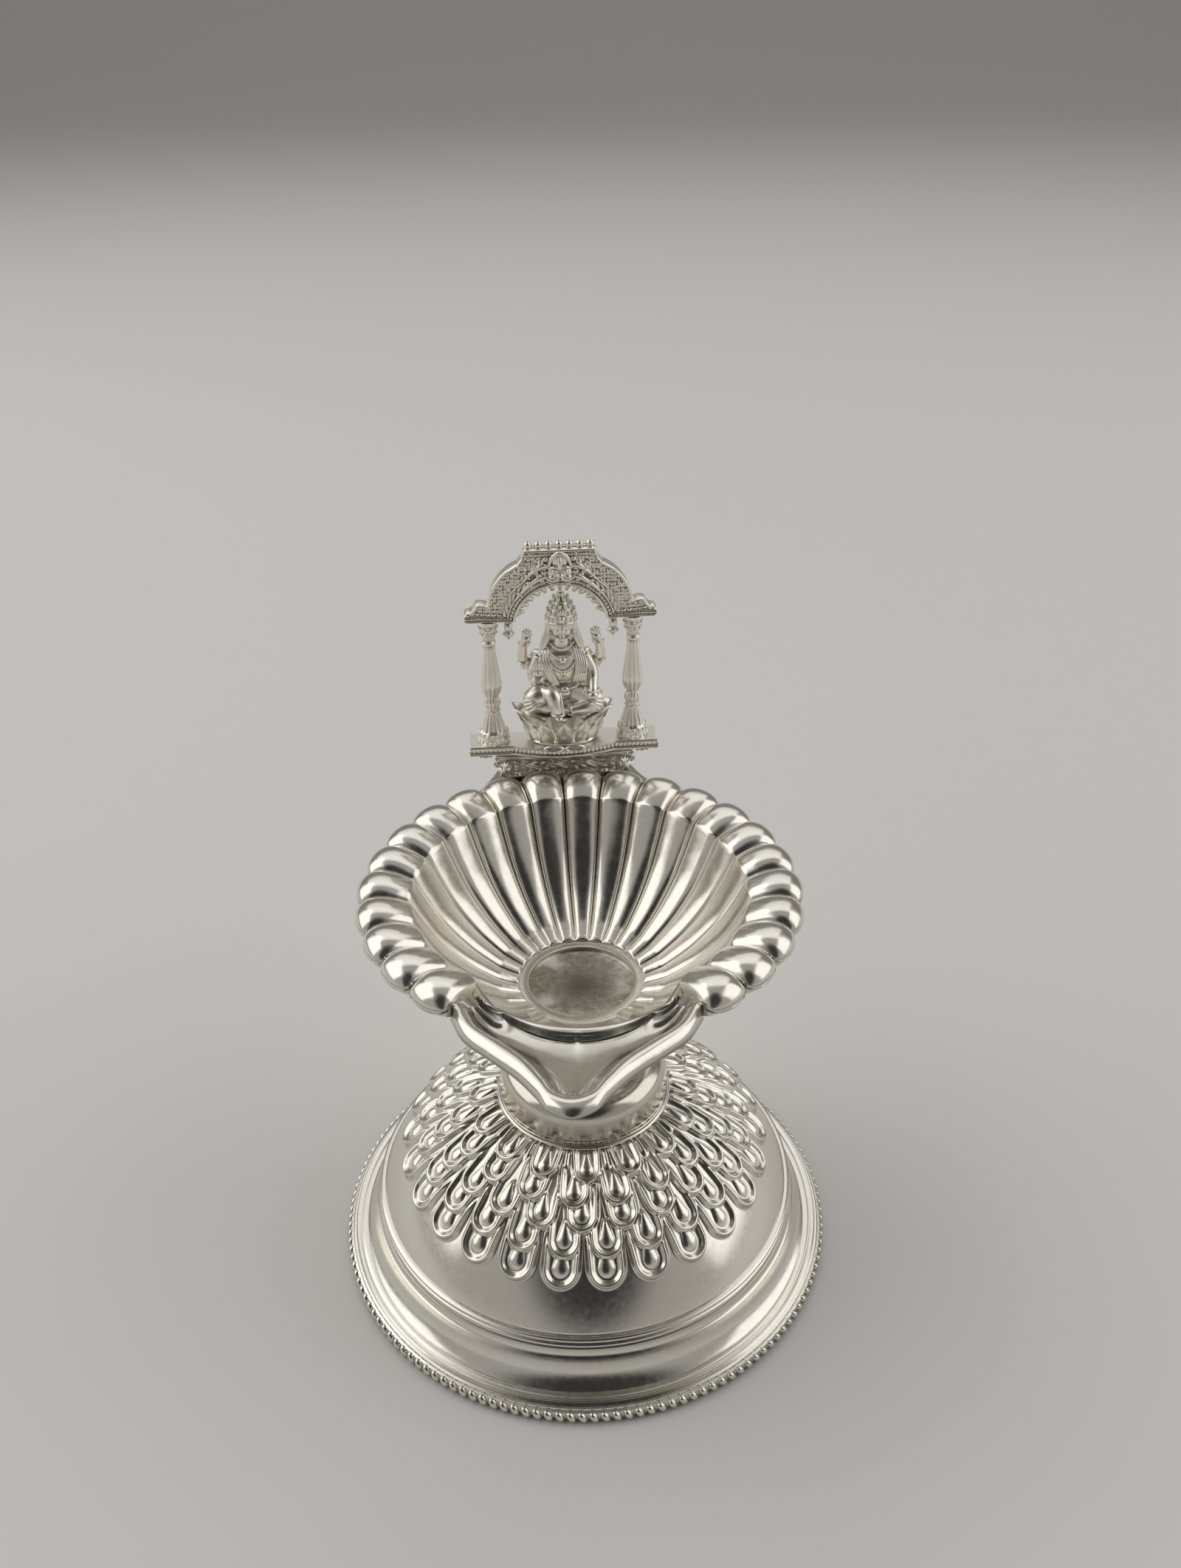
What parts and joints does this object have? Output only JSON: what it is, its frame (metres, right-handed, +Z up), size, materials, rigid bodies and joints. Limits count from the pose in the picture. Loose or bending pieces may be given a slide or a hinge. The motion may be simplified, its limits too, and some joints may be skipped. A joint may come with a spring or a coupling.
{
  "type": "aarti lamp",
  "caption": "Silver oil lamp for worship: a domed embossed stand, a fluted bowl with a lobed rim and a pouring spout that screws on, and a small shrine with a seated figure.",
  "frame": {"origin": "centre of the foot's flat standing rim, on the lamp's axis, in the table plane", "axes": "+Z up along the lamp's axis; the spout points along -Y and the shrine stands behind the bowl at +Y, turned 5 degrees about Z toward -X; +X to the right of someone who faces the spout"},
  "size_m": [0.0906, 0.096, 0.1207],
  "materials": {
    "silver_polished": "bright polished silver",
    "silver_chased": "chased silver, bright on the ridges and darker in the hollows",
    "silver_dull": "dull scratched silver",
    "silver_cast": "frosted cast silver with dark recesses",
    "brass_screw": "turned and threaded"
  },
  "bodies": {
    "stand": {"foot_ring": "silver_polished", "foot_border": "silver_chased", "dome_moulding": "silver_polished", "base_dome": "silver_chased", "collar": "silver_polished", "collar_wire": "silver_polished", "neck_bush": "brass_screw"},
    "ring": {"beaded_ring": "silver_chased"},
    "bowl": {"bowl_stem": "silver_polished", "bowl_shell": "silver_polished", "spout": "silver_polished", "well_ring": "silver_polished", "shrine_bracket": "silver_polished", "well_dish": "silver_dull", "plinth": "silver_cast", "platform": "silver_cast", "pillar_left": "silver_cast", "pillar_right": "silver_cast", "arch": "silver_cast", "arch_mask": "silver_cast", "crest": "silver_cast", "pendant_left": "silver_cast", "pendant_right": "silver_cast", "lotus_seat": "silver_cast", "deity_figure": "silver_cast", "screw_stud": "brass_screw"}
  },
  "joints": [
    {"name": "bowl_turn", "type": "hinge", "parent": "stand", "child": "ring", "pos_m": [0, 0, 0.0402], "axis": [0, 0, 1], "range_deg": [0, 1800]},
    {"name": "bowl_lift", "type": "slide", "parent": "ring", "child": "bowl", "axis": [0, 0, 1], "range_m": [0, 0.0063]}
  ],
  "couplings": [
    {"joint": "bowl_lift", "follows": "bowl_turn", "m_per_rad": 0.00019894}
  ]
}
